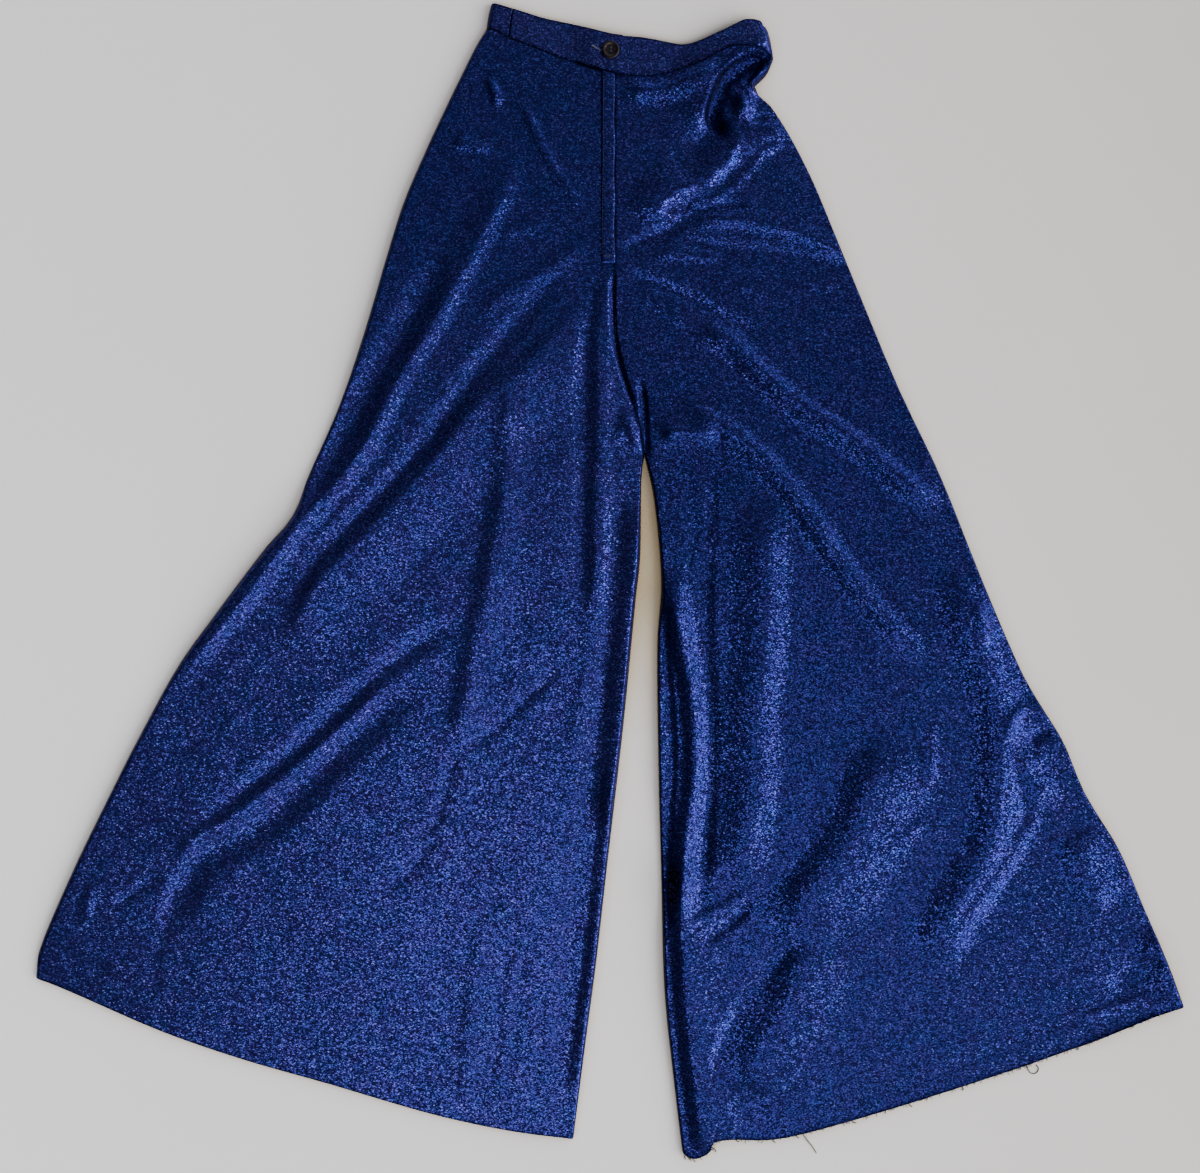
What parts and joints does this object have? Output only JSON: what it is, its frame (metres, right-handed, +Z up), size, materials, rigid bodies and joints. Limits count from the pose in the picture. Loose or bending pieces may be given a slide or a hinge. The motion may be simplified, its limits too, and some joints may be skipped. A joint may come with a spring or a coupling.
{
  "type": "wide-leg trousers",
  "caption": "High-waisted wide-leg trousers in shimmering cloth, laid flat with the front up: buttoned waistband, lapped fly, soft folds, a turned hem and a raw let-down hem.",
  "frame": {"origin": "bottom centre of the garment's box, on the surface that it lies on", "axes": "+X to the wearer's left side, +Y from the hems to the waist, +Z up, away from the surface"},
  "size_m": [1.148, 1.1551, 0.0204],
  "materials": {
    "cloth": "dark blue cloth with fine metallic thread, sparkling",
    "button": "dark brown, polished"
  },
  "bodies": {
    "root": {"back_right": "cloth", "back_left": "cloth", "front_right": "cloth", "front_left": "cloth", "waistband_side": "cloth", "waistband_front_right": "cloth", "waistband_front_left": "cloth", "waistband_back": "cloth", "fly_lap": "cloth", "button": "button"}
  },
  "joints": []
}
